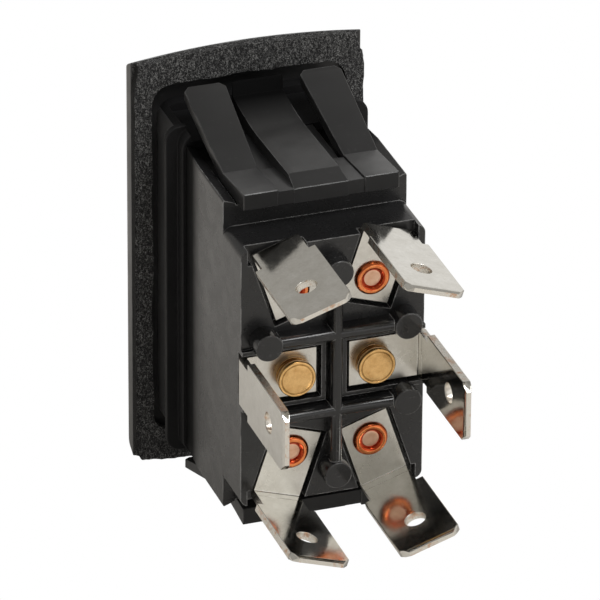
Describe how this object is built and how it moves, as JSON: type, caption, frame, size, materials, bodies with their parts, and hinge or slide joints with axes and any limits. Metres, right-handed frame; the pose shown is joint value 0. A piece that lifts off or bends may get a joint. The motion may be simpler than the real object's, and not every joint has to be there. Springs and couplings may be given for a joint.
{
  "type": "rocker switch",
  "caption": "Panel-mount snap-in double-pole rocker switch with foam gasket, spring latch arms, riveted quick-connect blade terminals and a seesaw contact mechanism.",
  "frame": {"origin": "centre of the panel cut-out, in the plane where the gasket meets the panel", "axes": "+Z along the long side of the switch; +Y rearwards through the panel, towards the terminals; the rocker faces -Y; X across the two poles"},
  "size_m": [0.0242, 0.0438, 0.0464],
  "materials": {
    "bracket": "satin moulded nylon",
    "base": "semi-gloss moulding",
    "rocker": "fine matt texture",
    "gasket": "closed-cell foam",
    "terminal": "tin plate on stamped brass",
    "copper": "bright copper",
    "brass": "bright brass",
    "silver": "silver alloy contact",
    "spring": "drawn spring wire",
    "plunger": "smooth acetal"
  },
  "bodies": {
    "housing": {"mounting_bracket": "bracket", "panel_gasket": "gasket", "switch_base": "base", "terminal_upper_right": "terminal", "eyelet_rivet_upper_right": "copper", "fixed_contact_upper_right": "silver", "terminal_upper_left": "terminal", "eyelet_rivet_upper_left": "copper", "fixed_contact_upper_left": "silver", "terminal_middle_right": "terminal", "pivot_rivet_middle_right": "brass", "terminal_middle_left": "terminal", "pivot_rivet_middle_left": "brass", "terminal_lower_right": "terminal", "eyelet_rivet_lower_right": "copper", "fixed_contact_lower_right": "silver", "terminal_lower_left": "terminal", "eyelet_rivet_lower_left": "copper", "fixed_contact_lower_left": "silver", "contact_cradle_right": "brass", "contact_cradle_left": "brass"},
    "rocker": {"rocker_actuator": "rocker", "plunger_spring_right": "spring", "plunger_spring_left": "spring"},
    "plunger_right": {"plunger_right": "plunger"},
    "plunger_left": {"plunger_left": "plunger"},
    "contact_right": {"contact_arm_right": "copper", "moving_contact_upper_right": "silver", "moving_contact_lower_right": "silver"},
    "contact_left": {"contact_arm_left": "copper", "moving_contact_upper_left": "silver", "moving_contact_lower_left": "silver"},
    "latch_upper": {"latch_arm_upper_right": "bracket", "latch_arm_upper_left": "bracket"},
    "latch_lower": {"latch_arm_lower_right": "bracket", "latch_arm_lower_left": "bracket"}
  },
  "joints": [
    {"name": "rocker_tilt", "type": "hinge", "parent": "housing", "child": "rocker", "pos_m": [0, 0, 0], "axis": [1, 0, 0], "range_deg": [-10, 10]},
    {"name": "contact_seesaw_right", "type": "hinge", "parent": "housing", "child": "contact_right", "pos_m": [0.0041, 0.01865, 0], "axis": [1, 0, 0], "range_deg": [-8, 8]},
    {"name": "plunger_slide_right", "type": "slide", "parent": "rocker", "child": "plunger_right", "axis": [0, 1, 0], "range_m": [-0.001, 0], "stiffness_N_per_m": 300, "springref_m": 0.003, "deforming": ["plunger_spring_right"]},
    {"name": "contact_seesaw_left", "type": "hinge", "parent": "housing", "child": "contact_left", "pos_m": [-0.0041, 0.01865, 0], "axis": [1, 0, 0], "range_deg": [-8, 8]},
    {"name": "plunger_slide_left", "type": "slide", "parent": "rocker", "child": "plunger_left", "axis": [0, 1, 0], "range_m": [-0.001, 0], "stiffness_N_per_m": 300, "springref_m": 0.003, "deforming": ["plunger_spring_left"]},
    {"name": "latch_flex_upper", "type": "hinge", "parent": "housing", "child": "latch_upper", "pos_m": [0, 0.0146, 0.017], "axis": [1, 0, 0], "range_deg": [0, 13.5], "stiffness_Nm_per_rad": 0.05},
    {"name": "latch_flex_lower", "type": "hinge", "parent": "housing", "child": "latch_lower", "pos_m": [0, 0.0146, -0.017], "axis": [-1, 0, 0], "range_deg": [0, 13.5], "stiffness_Nm_per_rad": 0.05}
  ],
  "couplings": [
    {"joint": "contact_seesaw_right", "follows": "rocker_tilt", "ratio": -0.8},
    {"joint": "contact_seesaw_left", "follows": "rocker_tilt", "ratio": -0.8}
  ]
}
